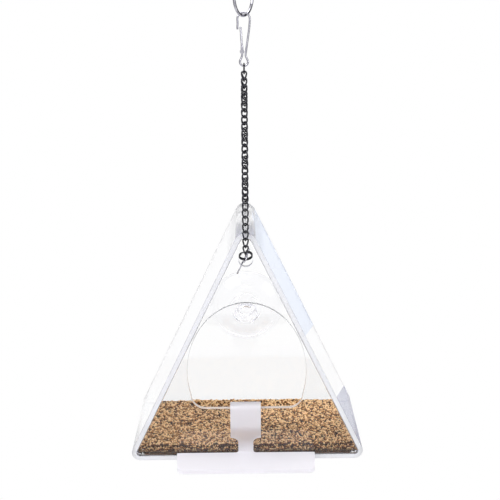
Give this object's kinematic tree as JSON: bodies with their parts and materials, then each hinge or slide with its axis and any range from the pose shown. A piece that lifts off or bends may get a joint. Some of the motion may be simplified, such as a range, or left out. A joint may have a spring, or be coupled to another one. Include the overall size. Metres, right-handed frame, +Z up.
{
  "type": "hanging bird feeder",
  "caption": "Clear three-sided bird feeder house with an open front, seed floor, hooked perch and suction cup, hung on two legs of curb chain from a snap hook.",
  "frame": {"origin": "the inside top of the hanger ring, where the feeder hangs from its hook or nail", "axes": "+Z up, -Y out of the open front towards the perch, +Y towards the window, +X to the right seen from the front"},
  "size_m": [0.1514, 0.1122, 0.3038],
  "materials": {
    "clear_acrylic": "clear polished sheet",
    "frosted_acrylic": "frosted sheet",
    "clear_vinyl": "clear soft vinyl",
    "bright_steel": "bright plated wire",
    "dark_steel": "darkened steel wire",
    "mixed_seed": "loose mixed seed"
  },
  "bodies": {
    "hanger": {"hanger_ring": "bright_steel"},
    "hook": {"snap_hook": "bright_steel"},
    "gate": {"snap_gate": "bright_steel"},
    "centre": {"centre_link": "dark_steel"},
    "legs": {"front_link_01": "dark_steel", "front_link_02": "dark_steel", "front_link_03": "dark_steel", "front_link_04": "dark_steel", "front_link_05": "dark_steel", "front_link_06": "dark_steel", "front_link_07": "dark_steel", "front_link_08": "dark_steel", "front_link_09": "dark_steel", "front_link_10": "dark_steel", "front_link_11": "dark_steel", "front_link_12": "dark_steel", "front_link_13": "dark_steel", "front_link_14": "dark_steel", "front_link_15": "dark_steel", "front_link_16": "dark_steel", "front_link_17": "dark_steel", "front_link_18": "dark_steel", "front_link_19": "dark_steel", "front_link_20": "dark_steel", "front_link_21": "dark_steel", "front_link_22": "dark_steel", "front_link_24": "dark_steel", "back_link_01": "dark_steel", "back_link_02": "dark_steel", "back_link_03": "dark_steel", "back_link_04": "dark_steel", "back_link_05": "dark_steel", "back_link_06": "dark_steel", "back_link_07": "dark_steel", "back_link_08": "dark_steel", "back_link_09": "dark_steel", "back_link_10": "dark_steel", "back_link_11": "dark_steel", "back_link_12": "dark_steel", "back_link_13": "dark_steel", "back_link_14": "dark_steel", "back_link_15": "dark_steel", "back_link_16": "dark_steel", "back_link_17": "dark_steel", "back_link_18": "dark_steel", "back_link_19": "dark_steel", "back_link_20": "dark_steel", "back_link_21": "dark_steel", "back_link_22": "dark_steel", "back_link_24": "dark_steel", "front_split_ring": "dark_steel", "back_split_ring": "dark_steel", "front_toggle": "bright_steel", "back_toggle": "bright_steel"},
    "house": {"house_shell": "clear_acrylic", "front_panel": "clear_acrylic", "back_panel": "clear_acrylic", "seed_fill": "mixed_seed"},
    "perch": {"perch": "frosted_acrylic"},
    "cup": {"suction_cup": "clear_vinyl"}
  },
  "joints": [
    {"name": "hook_swing", "type": "hinge", "parent": "hanger", "child": "hook", "pos_m": [0, 0, -0.021], "axis": [0.5, 0.866, 0], "range_deg": [-30, 30]},
    {"name": "gate_turn", "type": "hinge", "parent": "hook", "child": "gate", "pos_m": [-0.0011, 0, -0.0422], "axis": [0, 1, 0], "range_deg": [0, 14], "stiffness_Nm_per_rad": 0.02, "springref_deg": -11.46},
    {"name": "link_swing", "type": "hinge", "parent": "hook", "child": "centre", "pos_m": [0, 0, -0.0509], "axis": [1, 0, 0], "range_deg": [-30, 30]},
    {"name": "chain_twist", "type": "hinge", "parent": "centre", "child": "legs", "pos_m": [0, 0, -0.05528], "axis": [0, 0, 1], "range_deg": [-8, 12]},
    {"name": "house_rock", "type": "hinge", "parent": "legs", "child": "house", "pos_m": [0, 0, -0.16416], "axis": [0, 1, 0], "range_deg": [-25, 25]},
    {"name": "perch_lift", "type": "slide", "parent": "house", "child": "perch", "axis": [0, 0, 1], "range_m": [0, 0.018]},
    {"name": "cup_slide", "type": "slide", "parent": "house", "child": "cup", "axis": [0, 0, 1], "range_m": [-0.005, 0.015]}
  ]
}
